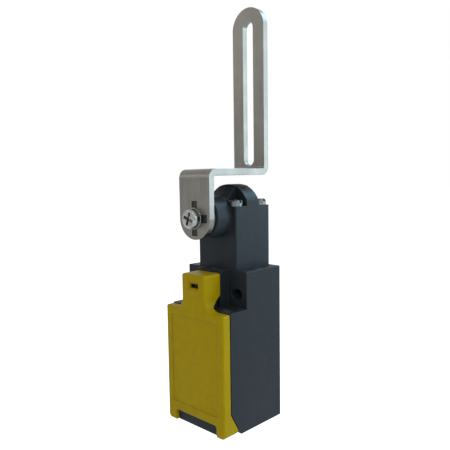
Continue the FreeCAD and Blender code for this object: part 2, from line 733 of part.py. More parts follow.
def lever_washer():
    """Split spring washer under the lever screw."""
    y = lever_front - washer_thickness
    ring = rod(washer_diameter, V(0, y, axis_z), washer_thickness, AXIS_Y)
    ring = ring.cut(rod(lever_screw_diameter + 2 * screw_clearance, V(0, y - slack, axis_z),
                        washer_thickness + 2 * slack, AXIS_Y))
    split = centred(washer_split / 2, y - slack, lever_front + slack, axis_z - washer_diameter, axis_z)
    split.rotate(V(0, 0, axis_z), AXIS_Y, washer_turn)
    return ring.cut(split)


def lever_screw():
    seat = lever_front - washer_thickness
    face = seat - lever_screw_head_height
    head = rod(lever_screw_head, V(0, face, axis_z), lever_screw_head_height, AXIS_Y)
    head = head.makeFillet(lever_screw_head_height * round_share, on_plane(head, "Y", face))
    shank = rod(lever_screw_diameter, V(0, seat - thread_gap, axis_z),
                lever_screw_length + thread_gap, AXIS_Y)
    arm, half = lever_screw_head * cross_reach, lever_screw_head * cross_width / 2
    floor = face + lever_screw_head_height * cross_sink
    cross = joined([centred(arm, face - slack, floor, axis_z - half, axis_z + half),
                    centred(half, face - slack, floor, axis_z - arm, axis_z + arm)])
    cross.rotate(V(0, 0, axis_z), AXIS_Y, cross_turn)
    return head.fuse(shank).cut(cross)


# ---------------------------------------------------------------- ram
def ram():
    stem = rod(ram_diameter, V(0, head_mid, ram_tip), ram_top - ram_tip - ram_head_height / 2, AXIS_Z)
    stem = stem.makeFillet(ram_tip_edge, on_plane(stem, "Z", ram_tip))
    head = rod(ram_head_length, V(0, head_mid, ram_top - ram_head_height), ram_head_height, AXIS_Z)
    half = cam_thickness / 2 - ram_side_gap
    keep = centred(ram_head_length, head_mid - half, head_mid + half, ram_tip, ram_top + slack)
    return joined([stem, head.common(keep)])


def ram_guide():
    half_y = guide_width / 2
    plug = centred(guide_length / 2, head_mid - half_y, head_mid + half_y, guide_low, guide_top)
    plug = rounded(plug, guide_corner, edges_along(plug, AXIS_Z))
    return plug.cut(rod(ram_diameter + 2 * running_gap, V(0, head_mid, guide_low - slack),
                        guide_height + 2 * slack, AXIS_Z))


def ram_spring():
    return coil(ram_spring_diameter - spring_wire, ram_spring_turns, guide_top,
                ram_top - ram_head_height - guide_top)


# ---------------------------------------------------------------- contacts
def contact_carrier():
    half_y = carrier_depth / 2
    post = centred(carrier_width / 2, head_mid - half_y, head_mid + half_y, carrier_foot, carrier_top)
    post = rounded(post, carrier_corner, edges_along(post, AXIS_Z))
    window_half = half_y - window_wall
    tools = [rod(return_spring_diameter + 2 * spring_gap, V(0, head_mid, carrier_foot - slack),
                 carrier_seat + slack, AXIS_Z)]
    for low, high in ((break_bridge_low - contact_spring_length,
                       break_bridge_low + bridge_thickness + contact_gap),
                      (make_bridge_low - contact_gap,
                       make_bridge_low + bridge_thickness + contact_spring_length)):
        tools.append(centred(carrier_width, head_mid - window_half, head_mid + window_half, low, high))
    return post.cut(tools)


def bridge(low, rivet_low):
    """Moving contact: a strip with a rivet at each end."""
    half_y = bridge_width / 2
    strip = centred(bridge_length / 2, head_mid - half_y, head_mid + half_y, low, low + bridge_thickness)
    strip = rounded(strip, bridge_corner, edges_along(strip, AXIS_Z))
    rivets = [rod(rivet_diameter, V(side * rivet_spacing / 2, head_mid, rivet_low), rivet_height, AXIS_Z)
              for side in SIDES]
    return joined([strip] + rivets)


def break_bridge():
    return bridge(break_bridge_low, break_bridge_low + bridge_thickness)


def make_bridge():
    return bridge(make_bridge_low, make_bridge_low - rivet_height)


def contact_spring(foot_z):
    return coil(contact_spring_diameter - spring_wire, contact_spring_turns, foot_z, contact_spring_length)


def fixed_contact(side, rivet_low, strip_low, plate_low, plate_high, terminal_z):
    """Strip with a contact rivet at its rear end, bent at the front into a terminal plate."""
    x, half = side * rivet_spacing / 2, strip_width / 2
    leg = box(x - half, x + half, plate_front, head_mid + rivet_diameter / 2 + strip_end,
              strip_low, strip_low + strip_thickness)
    rivet = rod(rivet_diameter, V(x, head_mid, rivet_low), rivet_height, AXIS_Z)
    plate_x, plate_half = side * terminal_spacing / 2, terminal_width / 2
    plate = box(plate_x - plate_half, plate_x + plate_half, plate_front, terminal_seat, plate_low, plate_high)
    hole = rod(terminal_screw_diameter + 2 * thread_gap, V(plate_x, plate_front - slack, terminal_z),
               strip_thickness + 2 * slack, AXIS_Y)
    return joined([leg, rivet, plate]).cut(hole)


def break_contact(side):
    strip_low = break_z + rivet_height
    return fixed_contact(side, break_z, strip_low, break_terminal_z - terminal_height / 2,
                         strip_low + strip_thickness, break_terminal_z)


def make_contact(side):
    rivet_low = make_z - rivet_height
    strip_low = rivet_low - strip_thickness
    return fixed_contact(side, rivet_low, strip_low, strip_low, make_terminal_z + terminal_height / 2,
                         make_terminal_z)


def terminal_clamps():
    """Plates that press the wire against the terminals."""
    clamps = []
    half = clamp_side / 2
    for x, z in TERMINALS:
        plate = box(x - half, x + half, plate_front - clamp_thickness, plate_front, z - half, z + half)
        clamps.append(plate.cut(rod(terminal_screw_diameter + 2 * screw_clearance,
                                    V(x, plate_front - clamp_thickness - slack, z),
                                    clamp_thickness + 2 * slack, AXIS_Y)))
    return Part.makeCompound(clamps)


def terminal_screws():
    return Part.makeCompound([
        slotted_screw(terminal_screw_diameter, terminal_screw_length, terminal_screw_head,
                      terminal_screw_head_height, V(x, plate_front - clamp_thickness, z), AXIS_Y * -1)
        for x, z in TERMINALS])


def moulding(y0, y1):
    """Block that fills the upper cavity between two depths."""
    block = centred(block_half, y0, y1, block_foot, block_top)
    return rounded(block, cavity_corner, edges_along(block, AXIS_Y, lambda c: same(c.z, block_top)))


def terminal_block():
    """Moulding behind the terminal plates, with barrier ribs between the terminals."""
    middle_z = (break_terminal_z + make_terminal_z) / 2
    rib_front, half_rib = terminal_seat - rib_reach, rib_thickness / 2
    ribs = [centred(half_rib, rib_front, terminal_seat + slack, block_foot, block_top),
            centred(block_half, rib_front, terminal_seat + slack, middle_z - half_rib, middle_z + half_rib)]
    block = joined([moulding(terminal_seat, block_split)] + ribs)
    start = terminal_seat - slack
    depth = terminal_screw_length - strip_thickness - clamp_thickness + drill_runout + slack
    tools = [rod(terminal_screw_diameter + 2 * screw_clearance, V(x, start, z), depth, AXIS_Y)
             for x, z in TERMINALS]
    reach = strip_width / 2 + thread_gap
    for low in (break_z + rivet_height, make_z - rivet_height - strip_thickness):
        for side in SIDES:
            x = side * rivet_spacing / 2
            tools.append(box(x - reach, x + reach, start, block_split + slack,
                             low - thread_gap, low + strip_thickness + thread_gap))
    return block.cut(tools)


def contact_chamber():
    """Moulding that guides the carrier and houses both bridges, with the return spring's cup below."""
    cup = rod(cup_diameter, V(0, head_mid, cup_low), cup_depth + slack, AXIS_Z)
    block = joined([moulding(block_split, cavity_back), cup])
    half_x, half_y = carrier_width / 2 + carrier_gap, carrier_depth / 2 + carrier_gap
    side_reach = (rivet_spacing + strip_width) / 2 + chamber_room
    back = head_mid + bridge_width / 2 + chamber_room
    tools = [centred(half_x, head_mid - half_y, head_mid + half_y,
                     block_foot + carrier_floor, block_top + slack),
             rod(return_spring_diameter + 2 * spring_gap, V(0, head_mid, spring_seat),
                 cup_depth + slack, AXIS_Z)]
    for low, high in ((break_bridge_low - cam_stroke - chamber_room,
                       break_z + rivet_height + strip_thickness + thread_gap),
                      (make_z - rivet_height - strip_thickness - thread_gap,
                       make_bridge_low + bridge_thickness + chamber_room)):
        tools.append(centred(side_reach, block_split - slack, back, low, high))
    return block.cut(tools)


def return_spring():
    return coil(return_spring_diameter - spring_wire, return_spring_turns, spring_seat,
                carrier_foot + carrier_seat - spring_seat)


# ---------------------------------------------------------------- the assembly
PARTS = {
    "enclosure_body": enclosure_body,
    "front_cover": front_cover,
    "cover_seal": cover_seal,
    "operating_head": operating_head,
    "head_gasket": head_gasket,
    "head_screws": head_screws,
    "shaft_bush": shaft_bush,
    "shaft_seal": shaft_seal,
    "lever_shaft": lever_shaft,
    "shaft_clip": shaft_clip,
    "lever_hub": lever_hub,
    "cam": cam,
    "slotted_lever": slotted_lever,
    "lever_washer": lever_washer,
    "lever_screw": lever_screw,
    "ram": ram,
    "ram_guide": ram_guide,
    "ram_spring": ram_spring,
    "contact_carrier": contact_carrier,
    "break_bridge": break_bridge,
    "make_bridge": make_bridge,
    "break_contact_spring": lambda: contact_spring(break_bridge_low - contact_spring_length),
    "make_contact_spring": lambda: contact_spring(make_bridge_low + bridge_thickness),
    "break_contact_left": lambda: break_contact(-1),
    "break_contact_right": lambda: break_contact(1),
    "make_contact_left": lambda: make_contact(-1),
    "make_contact_right": lambda: make_contact(1),
    "terminal_clamps": terminal_clamps,
    "terminal_screws": terminal_screws,
    "terminal_block": terminal_block,
    "contact_chamber": contact_chamber,
    "return_spring": return_spring,
}


def main():
    os.makedirs("parts", exist_ok=True)
    for name, make in PARTS.items():
        shape = make()
        if not shape.isValid():
            raise ValueError(name + " is not a valid shape")
        shape.exportStep(os.path.join("parts", name + ".step"))


main()
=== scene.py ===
"""Looks for the lever-operated safety switch: finishes, the cable entry's thread, soft studio light and camera.

Lengths are in metres, in the part's own frame: X across the enclosure, Y into the wall, Z up.
"""
import json
import math

import bmesh
import bpy
from mathutils import Matrix, Vector


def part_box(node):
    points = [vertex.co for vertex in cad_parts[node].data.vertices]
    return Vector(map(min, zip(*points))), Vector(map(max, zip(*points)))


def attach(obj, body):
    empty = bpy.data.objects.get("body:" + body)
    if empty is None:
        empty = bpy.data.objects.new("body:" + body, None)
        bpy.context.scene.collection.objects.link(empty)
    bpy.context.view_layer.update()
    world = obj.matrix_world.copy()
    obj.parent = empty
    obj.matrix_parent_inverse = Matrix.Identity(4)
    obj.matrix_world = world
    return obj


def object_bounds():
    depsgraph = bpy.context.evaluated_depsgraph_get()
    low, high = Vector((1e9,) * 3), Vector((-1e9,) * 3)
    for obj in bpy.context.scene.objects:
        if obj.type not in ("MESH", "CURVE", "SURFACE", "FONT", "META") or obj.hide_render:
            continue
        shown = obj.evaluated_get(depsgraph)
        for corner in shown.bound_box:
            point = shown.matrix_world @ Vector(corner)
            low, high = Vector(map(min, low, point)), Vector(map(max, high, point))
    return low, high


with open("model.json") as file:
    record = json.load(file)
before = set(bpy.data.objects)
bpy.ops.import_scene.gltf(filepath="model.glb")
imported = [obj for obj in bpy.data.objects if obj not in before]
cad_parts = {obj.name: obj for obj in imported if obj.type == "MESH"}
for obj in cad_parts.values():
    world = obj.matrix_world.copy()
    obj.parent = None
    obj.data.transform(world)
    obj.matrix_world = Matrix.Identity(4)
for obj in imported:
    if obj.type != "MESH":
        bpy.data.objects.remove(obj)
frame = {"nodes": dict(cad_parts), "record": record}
cad_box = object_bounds()

bl_info = {
    "name": "Lever Safety Switch",
    "version": (1, 0, 0),
    "blender": (4, 5, 0),
    "location": "View3D > Sidebar > Switch",
    "description": "Dresses a packed lever-operated safety switch and lights it",
    "category": "Object",
}

MM = 0.001
FLOAT, VECTOR = "NodeSocketFloat", "NodeSocketVector"
WHITE = (1.0, 1.0, 1.0, 1.0)
DUST = (0.42, 0.40, 0.37, 1.0)


# ------------------------------------------------------------------ settings
def prop_colour(name, description, default):
    return bpy.props.FloatVectorProperty(
        name=name, description=description, default=default, subtype="COLOR", size=3, min=0, max=1)


def prop_length(name, description, default):
    return bpy.props.FloatProperty(name=name, description=description, default=default, unit="LENGTH", min=0)


def prop_angle(name, description, degrees):
    return bpy.props.FloatProperty(
        name=name, description=description, default=math.radians(degrees), subtype="ANGLE")


def prop_number(name, description, default, unit="NONE"):
    return bpy.props.FloatProperty(name=name, description=description, default=default, unit=unit)


class SwitchColours(bpy.types.PropertyGroup):
    """Colours of the finishes."""
    enclosure: prop_colour("Enclosure", "Glass-filled moulding of the enclosure", (0.014, 0.017, 0.021))
    head: prop_colour("Head", "Glass-filled moulding of the operating head", (0.015, 0.019, 0.024))
    cover: prop_colour("Cover", "Signal yellow moulding of the cover", (0.312, 0.214, 0.0003))
    lever: prop_colour("Lever", "Brushed sheet steel", (0.150, 0.144, 0.127))
    zinc: prop_colour("Zinc", "Plated screws and clamps", (0.28, 0.29, 0.28))
    dull_zinc: prop_colour("Dull zinc", "Plated screws of the head", (0.13, 0.14, 0.145))
    black_oxide: prop_colour("Black oxide", "Driver disc", (0.018, 0.018, 0.020))
    turned: prop_colour("Turned steel", "Lever shaft", (0.48, 0.48, 0.48))
    acetal: prop_colour("Acetal", "Cam and ram", (0.66, 0.64, 0.56))
    moulding: prop_colour("Contact moulding", "Contact block and carrier", (0.56, 0.53, 0.45))
    brass: prop_colour("Brass", "Contact strips", (0.60, 0.42, 0.16))
    bronze: prop_colour("Bronze", "Shaft bush", (0.42, 0.27, 0.12))
    wire: prop_colour("Wire", "Springs", (0.36, 0.36, 0.37))
    rubber: prop_colour("Rubber", "Seals and gasket", (0.012, 0.012, 0.013))


class SwitchSizes(bpy.types.PropertyGroup):
    """Sizes of the finishes and of the thread."""
    edge_radius: prop_length("Edge radius", "Softening of moulded and turned edges", 0.22 * MM)
    sheared_radius: prop_length("Sheared edge radius", "Softening of the lever's edges", 0.25 * MM)
    grain: prop_length("Grain", "Size of the moulding grain", 0.16 * MM)
    brush: prop_length("Brush pitch", "Spacing of the brushed lines", 0.10 * MM)
    thread_pitch: prop_length("Thread pitch", "Pitch of the cable entry's thread", 1.5 * MM)
    thread_depth: prop_length("Thread depth", "Height of the thread's ridge", 0.35 * MM)
    thread_start: prop_length("Thread start", "Underside to the thread's first turn", 1.0 * MM)
    thread_turns: prop_number("Thread turns", "How often the thread goes round", 3.6)


class SwitchStudio(bpy.types.PropertyGroup):
    """Camera and light."""
    azimuth: prop_angle("Azimuth", "Camera's turn round the switch", 45.858)
    elevation: prop_angle("Elevation", "How far the camera looks down", 5.476)
    roll: prop_angle("Roll", "Camera's tilt about its own axis", -1.059)
    place: bpy.props.FloatVectorProperty(
        name="Place", description="Where the camera stands", default=(0.143635, -0.168455, 0.04369),
        subtype="TRANSLATION", size=3)
    lens: prop_number("Lens", "Focal length on a 36 mm sensor", 42.70, "CAMERA")
    shift_x: prop_number("Shift across", "Sideways shift of the picture", 0.0556)
    shift_y: prop_number("Shift up", "Upward shift of the picture", 0.0111)
    floor_drop: prop_length("Floor drop", "Room under the switch for its cover to hang open", 16 * MM)
    key: prop_number("Key", "Strength of the lamp that the lever's edges mirror", 0.33, "POWER")
    side: prop_number("Side", "Strength of the lamp at the right-hand front", 0.35, "POWER")
    fill: prop_number("Fill", "Strength of the lamp in front", 0.7, "POWER")
    back: prop_number("Back", "Strength of the cool lamp high behind the switch", 1.9, "POWER")
    accent: prop_number("Accent", "Strength of the small lamp on the left", 0.12, "POWER")
    sky: prop_number("Sky", "Strength of the world's light", 0.52)
    glow: prop_number("Floor glow", "How much the floor is brought up towards white", 0.62)


# ------------------------------------------------------------------ node helpers
def add(tree, kind, **settings):
    node = tree.nodes.new(kind)
    for name, value in settings.items():
        setattr(node, name, value)
    return node


def give(tree, socket, source):
    """Links another socket to this one, or sets its value."""
    if isinstance(source, bpy.types.NodeSocket):
        tree.links.new(source, socket)
    else:
        socket.default_value = source


def feed(tree, node, **inputs):
    """Fills the named inputs; underscores stand for spaces."""
    for name, source in inputs.items():
        give(tree, node.inputs[name.replace("_", " ")], source)


def maths(tree, operation, *sources, clamp=False):
    node = add(tree, "ShaderNodeMath", operation=operation, use_clamp=clamp)
    for socket, source in zip(node.inputs, sources):
        give(tree, socket, source)
    return node.outputs[0]


def spread(tree, source, given, wanted=(0.0, 1.0)):
    """Stretches the given range onto the wanted one, with soft ends."""
    node = add(tree, "ShaderNodeMapRange", interpolation_type="SMOOTHSTEP")
    feed(tree, node, Value=source, From_Min=given[0], From_Max=given[1], To_Min=wanted[0], To_Max=wanted[1])
    return node.outputs["Result"]


def blend(tree, factor, first, second):
    """Colour between the first and the second."""
    node = add(tree, "ShaderNodeMix", data_type="RGBA")
    sockets = {socket.identifier: socket for socket in (*node.inputs, *node.outputs)}
    give(tree, sockets["Factor_Float"], factor)
    give(tree, sockets["A_Color"], first)
    give(tree, sockets["B_Color"], second)
    return sockets["Result_Color"]


def stretched(tree, vector, scale):
    node = add(tree, "ShaderNodeMapping")
    feed(tree, node, Vector=vector, Scale=scale)
    return node.outputs["Vector"]


def noise(tree, vector, scale, detail=3.0, roughness=0.55):
    node = add(tree, "ShaderNodeTexNoise")
    feed(tree, node, Vector=vector, Scale=scale, Detail=detail, Roughness=roughness)
    return node.outputs["Fac"]


def relief(tree, height, strength, distance, **normal):
    node = add(tree, "ShaderNodeBump")
    feed(tree, node, Height=height, Strength=strength, Distance=distance, **normal)
    return node.outputs["Normal"]


def arrange(tree, column_width=220, row_height=240):
    """Sets the nodes out in columns, leftwards from the last one."""
    column = {node.name: 0 for node in tree.nodes}
    for _ in tree.nodes:
        for link in tree.links:
            source, target = link.from_node.name, link.to_node.name
            column[source] = max(column[source], column[target] + 1)
    rows = {}
    for node in tree.nodes:
        place = column[node.name]
        node.location = (-column_width * place, -row_height * rows.get(place, 0))
        rows[place] = rows.get(place, 0) + 1


def new_group(name, inputs, outputs):
    """Empty node group with its sockets, what it is given and where its results go."""
    tree = bpy.data.node_groups.new(name, "ShaderNodeTree")
    for label, kind in inputs:
        tree.interface.new_socket(label, in_out="INPUT", socket_type=kind)
    for label, kind in outputs:
        tree.interface.new_socket(label, in_out="OUTPUT", socket_type=kind)
    return tree, add(tree, "NodeGroupInput").outputs, add(tree, "NodeGroupOutput")


# ------------------------------------------------------------------ shared effects
def soft_edge(name):
    """Rounded shading at sharp edges, and a mask of where those edges are."""
    flat, sharp = 0.01, 0.16  # how far the rounded shading turns from a face's own
    tree, given, out = new_group(name, [("Radius", FLOAT)], [("Normal", VECTOR), ("Edge", FLOAT)])
    rounded = add(tree, "ShaderNodeBevel", samples=6)
    feed(tree, rounded, Radius=given["Radius"])
    surface = add(tree, "ShaderNodeNewGeometry")
    alike = add(tree, "ShaderNodeVectorMath", operation="DOT_PRODUCT")
    tree.links.new(rounded.outputs["Normal"], alike.inputs[0])
    tree.links.new(surface.outputs["Normal"], alike.inputs[1])
    turned = maths(tree, "SUBTRACT", 1.0, alike.outputs["Value"])
    feed(tree, out, Normal=rounded.outputs["Normal"], Edge=spread(tree, turned, (flat, sharp)))
    return tree


def moulding_grain(name):
    """Spark-eroded moulding grain: fine cells, a mottle and a slow flow up the part."""
    tree, given, out = new_group(
        name, [("Vector", VECTOR), ("Size", FLOAT)], [("Height", FLOAT), ("Mottle", FLOAT), ("Flow", FLOAT)])
    fine = maths(tree, "DIVIDE", 1.0, given["Size"])
    cells = add(tree, "ShaderNodeTexVoronoi", feature="SMOOTH_F1")
    feed(tree, cells, Vector=given["Vector"], Scale=fine, Smoothness=0.8)
    grit = noise(tree, given["Vector"], scale=maths(tree, "MULTIPLY", fine, 1.7), detail=4.0, roughness=0.6)
    mottle = noise(tree, given["Vector"], scale=320.0, detail=5.0, roughness=0.62)
    flow = noise(tree, stretched(tree, given["Vector"], (1.0, 1.0, 0.25)), scale=60.0, detail=4.0)
    feed(tree, out, Height=maths(tree, "ADD", cells.outputs["Distance"], grit),
         Mottle=spread(tree, mottle, (0.3, 0.7)), Flow=spread(tree, flow, (0.35, 0.65)))
    return tree


def brushed_lines(name):
    """Fine lines that run lengthwise along the sheet, broader streaks and a few rubbed patches."""
    tree, given, out = new_group(
        name, [("Vector", VECTOR), ("Pitch", FLOAT)], [("Height", FLOAT), ("Streak", FLOAT), ("Rub", FLOAT)])
    fine = maths(tree, "DIVIDE", 1.0, given["Pitch"])
    lines = noise(tree, stretched(tree, given["Vector"], (1.0, 0.012, 0.012)), scale=fine, roughness=0.7)
    streak = noise(tree, stretched(tree, given["Vector"], (1.0, 0.03, 0.03)), scale=1500.0, roughness=0.6)
    rub = noise(tree, given["Vector"], scale=130.0, detail=5.0, roughness=0.6)
    feed(tree, out, Height=lines, Streak=spread(tree, streak, (0.3, 0.7)), Rub=spread(tree, rub, (0.40, 0.72)))
    return tree


def settled_dust(name):
    """Mask of the thin dust that lies on upward faces and gathers in patches."""
    tree, given, out = new_group(name, [("Vector", VECTOR), ("Amount", FLOAT)], [("Mask", FLOAT)])
    facing = add(tree, "ShaderNodeSeparateXYZ")
    tree.links.new(add(tree, "ShaderNodeTexCoord").outputs["Normal"], facing.inputs[0])
    upward = spread(tree, facing.outputs["Z"], (0.2, 1.0), (0.03, 1.0))
    patches = spread(tree, noise(tree, given["Vector"], scale=210.0, detail=6.0, roughness=0.68), (0.42, 0.74))
    lying = maths(tree, "MULTIPLY", upward, patches)
    feed(tree, out, Mask=maths(tree, "MULTIPLY", lying, given["Amount"], clamp=True))
    return tree


def place_group(tree, make, **inputs):
    """Places the effect that make builds, and builds it the first time."""
    name = make.__name__.replace("_", " ").title()
    group = bpy.data.node_groups.get(name)
    if group is None:
        group = make(name)
        arrange(group)
    node = add(tree, "ShaderNodeGroup", node_tree=group)
    feed(tree, node, **inputs)
    return node.outputs


# ------------------------------------------------------------------ finishes
def new_finish(name):
    """Material with its principled shader and its object coordinates."""
    material = bpy.data.materials.new(name)
    material.use_nodes = True
    tree = material.node_tree
    tree.nodes.clear()
    shader = add(tree, "ShaderNodeBsdfPrincipled")
    tree.links.new(shader.outputs["BSDF"], add(tree, "ShaderNodeOutputMaterial").inputs["Surface"])
    return material, tree, shader, add(tree, "ShaderNodeTexCoord").outputs["Object"]


def shade(colour, scale=1.0, lift=0.0):
    """The colour made brighter by a share and paler by an amount, with an alpha of 1."""
    return tuple(min(1.0, (channel + lift) * scale) for channel in colour) + (1.0,)


def part_of(tree, mask, share):
    return maths(tree, "MULTIPLY", mask, share)


def plastic_finish(name, colour, sizes, roughness, edge_share=1.0, bump=0.25, dust=0.12, worn=0.35, gloss=0.10):
    """Moulded plastic: grain, slow mottle, edges polished by handling and a little dust."""
    sheen_shift, relief_share, polish = 0.08, 0.25, 0.25
    material, tree, shader, coords = new_finish(name)
    edge = place_group(tree, soft_edge, Radius=sizes.edge_radius * edge_share)
    skin = place_group(tree, moulding_grain, Vector=coords, Size=sizes.grain)
    dusty = place_group(tree, settled_dust, Vector=coords, Amount=dust)
    rubbed = part_of(tree, edge["Edge"], worn)
    tone = blend(tree, skin["Mottle"], shade(colour, 0.95), shade(colour, 1.05))
    tone = blend(tree, part_of(tree, skin["Flow"], 0.2), tone, shade(colour, 0.85))
    tone = blend(tree, rubbed, tone, shade(colour, 1.25, lift=0.06))
    tone = blend(tree, dusty["Mask"], tone, DUST)
    rough = spread(tree, skin["Flow"], (0.0, 1.0), (roughness - sheen_shift / 2, roughness + sheen_shift / 2))
    rough = maths(tree, "SUBTRACT", rough, part_of(tree, rubbed, polish), clamp=True)
    normal = relief(tree, skin["Height"], bump, sizes.grain * relief_share, Normal=edge["Normal"])
    feed(tree, shader, Base_Color=tone, Roughness=rough, Normal=normal, Specular_IOR_Level=gloss)
    return material


def steel_finish(name, colour, pitch, edge_radius, roughness):
    """Brushed steel with a painted highlight along its edges."""
    relief_strength, relief_share = 0.20, 0.3
    material, tree, shader, coords = new_finish(name)
    edge = place_group(tree, soft_edge, Radius=edge_radius)
    lines = place_group(tree, brushed_lines, Vector=coords, Pitch=pitch)
    tone = blend(tree, lines["Streak"], shade(colour, 0.86), shade(colour, 1.12))
    tone = blend(tree, part_of(tree, lines["Rub"], 0.35), tone, shade(colour, 1.30))
    # painted highlight: the edges are painted up to half again lighter, standing in for the lamp's glint on them
    tone = blend(tree, part_of(tree, edge["Edge"], 0.6), tone, shade(colour, 1.5))
    rough = spread(tree, lines["Streak"], (0.0, 1.0), (roughness - 0.06, roughness + 0.08))
    rough = maths(tree, "SUBTRACT", rough, part_of(tree, edge["Edge"], 0.10))
    normal = relief(tree, lines["Height"], relief_strength, pitch * relief_share, Normal=edge["Normal"])
    feed(tree, shader, Base_Color=tone, Roughness=rough, Normal=normal, Metallic=1.0)
    return material


def plated_finish(name, colour, edge_radius, roughness, metallic=1.0):
    """Plated or turned metal: cloudy tone, faint pits and a painted highlight along the edges."""
    pit_strength, pit_depth = 0.15, 0.03 * MM
    material, tree, shader, coords = new_finish(name)
    edge = place_group(tree, soft_edge, Radius=edge_radius)
    cloud = noise(tree, coords, scale=700.0, detail=5.0, roughness=0.6)
    pits = noise(tree, coords, scale=5200.0, roughness=0.6)
    tone = blend(tree, spread(tree, cloud, (0.35, 0.68)), shade(colour, 0.74), shade(colour, 1.12))
    # painted highlight: the edges are painted lighter, standing in for the glint of light on their rims
    tone = blend(tree, part_of(tree, edge["Edge"], 0.5), tone, shade(colour, 1.35))
    rough = spread(tree, cloud, (0.3, 0.7), (roughness + 0.08, roughness - 0.06))
    normal = relief(tree, pits, pit_strength, pit_depth, Normal=edge["Normal"])
    feed(tree, shader, Base_Color=tone, Roughness=rough, Normal=normal, Metallic=metallic)
    return material


def rubber_finish(name, colour):
    """Matt moulded rubber with a faint bloom."""
    texture_strength, texture_depth = 0.2, 0.03 * MM
    material, tree, shader, coords = new_finish(name)
    bloom = noise(tree, coords, scale=900.0, detail=5.0, roughness=0.6)
    tone = blend(tree, spread(tree, bloom, (0.4, 0.75)), shade(colour), shade(colour, lift=0.03))
    rough = spread(tree, bloom, (0.3, 0.7), (0.62, 0.80))
    normal = relief(tree, noise(tree, coords, scale=6000.0), texture_strength, texture_depth)
    feed(tree, shader, Base_Color=tone, Roughness=rough, Normal=normal)
    return material


def dress(material, *nodes):
    """Gives the finish to CAD nodes."""
    arrange(material.node_tree)
    for name in nodes:
        mesh = frame["nodes"][name].data
        mesh.materials.clear()
        mesh.materials.append(material)


# ------------------------------------------------------------------ pieces
def finished_object(name, mesh, material):
    """Object at the origin made of a finished bmesh."""
    data = bpy.data.meshes.new(name)
    mesh.to_mesh(data)
    mesh.free()
    data.materials.append(material)
    piece = bpy.data.objects.new(name, data)
    bpy.context.scene.collection.objects.link(piece)
    return piece


class SWITCH_OT_enclosure(bpy.types.Operator):
    """Finish the enclosure and put a thread into its cable entry"""
    bl_idname = "switch.enclosure"
    bl_label = "Enclosure"

    steps_per_turn = 40
    ridge_share = 0.30            # half the ridge's foot over the pitch
    bedding = 0.02 * MM           # how far the ridge's foot is let into the bore's wall

    def execute(self, context):
        colours, sizes = context.scene.switch_colours, context.scene.switch_sizes
        plastic = plastic_finish("Enclosure plastic", colours.enclosure, sizes, roughness=0.46)
        dress(plastic, "enclosure_body")

        entry = next(mount for mount in frame["record"]["mounts"] if mount["name"] == "cable_entry")
        radius = entry["dims"]["r_mm"] * MM
        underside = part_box("enclosure_body")[0].z
        centre = Vector((entry["pos_m"][0], entry["pos_m"][1], underside + sizes.thread_start))
        half_foot = sizes.thread_pitch * self.ridge_share
        mesh = bmesh.new()
        low, high, crest = (mesh.verts.new(centre + Vector(corner)) for corner in (
            (radius + self.bedding, 0, -half_foot), (radius + self.bedding, 0, half_foot),
            (radius - sizes.thread_depth, 0, 0)))
        sides = [mesh.edges.new(ends) for ends in ((low, crest), (crest, high), (high, low))]
        bmesh.ops.spin(
            mesh, geom=[low, high, crest, *sides], cent=centre, axis=(0, 0, 1), use_merge=False,
            angle=math.tau * sizes.thread_turns, steps=round(sizes.thread_turns * self.steps_per_turn),
            dvec=(0, 0, sizes.thread_pitch / self.steps_per_turn))
        bmesh.ops.holes_fill(mesh, edges=[edge for edge in mesh.edges if edge.is_boundary], sides=len(sides))
        bmesh.ops.recalc_face_normals(mesh, faces=mesh.faces)
        thread = finished_object("entry_thread", mesh, plastic)
        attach(thread, "enclosure")
        return {"FINISHED"}


class SWITCH_OT_head(bpy.types.Operator):
    """Finish the operating head, the ram's guide, the head's screws and the zinc-plated small parts"""
    bl_idname = "switch.head"
    bl_label = "Operating Head"

    def execute(self, context):
        colours, sizes = context.scene.switch_colours, context.scene.switch_sizes
        dress(plastic_finish("Head plastic", colours.head, sizes, roughness=0.42), "operating_head")
        dress(plastic_finish("Guide plastic", colours.head, sizes, roughness=0.50, dust=0.0), "ram_guide")
        dress(plated_finish("Zinc plate", colours.zinc, sizes.edge_radius, roughness=0.30),
              "terminal_screws", "terminal_clamps", "lever_washer")
        dress(plated_finish("Dull zinc plate", colours.dull_zinc, sizes.edge_radius, roughness=0.42), "head_screws")
        return {"FINISHED"}


class SWITCH_OT_cover(bpy.types.Operator):
    """Finish the snap-on front cover"""
    bl_idname = "switch.cover"
    bl_label = "Front Cover"

    def execute(self, context):
        colours, sizes = context.scene.switch_colours, context.scene.switch_sizes
        dress(plastic_finish("Cover plastic", colours.cover, sizes, roughness=0.36, edge_share=1.6,
                             bump=0.18, dust=0.03, worn=0.30, gloss=0.05), "front_cover")
        return {"FINISHED"}


class SWITCH_OT_lever(bpy.types.Operator):
    """Finish the lever, its driver disc, its shaft and its screw"""
    bl_idname = "switch.lever"
    bl_label = "Lever"

    def execute(self, context):
        colours, sizes = context.scene.switch_colours, context.scene.switch_sizes
        radius = sizes.edge_radius
        dress(steel_finish("Lever steel", colours.lever, sizes.brush, sizes.sheared_radius, roughness=0.34),
              "slotted_lever")
        dress(plated_finish("Black oxide", colours.black_oxide, radius, roughness=0.40, metallic=0.6), "lever_hub")
        dress(plated_finish("Turned steel", colours.turned, radius, roughness=0.26), "lever_shaft")
        dress(plated_finish("Screw steel", colours.zinc, radius, roughness=0.20), "lever_screw")
        return {"FINISHED"}


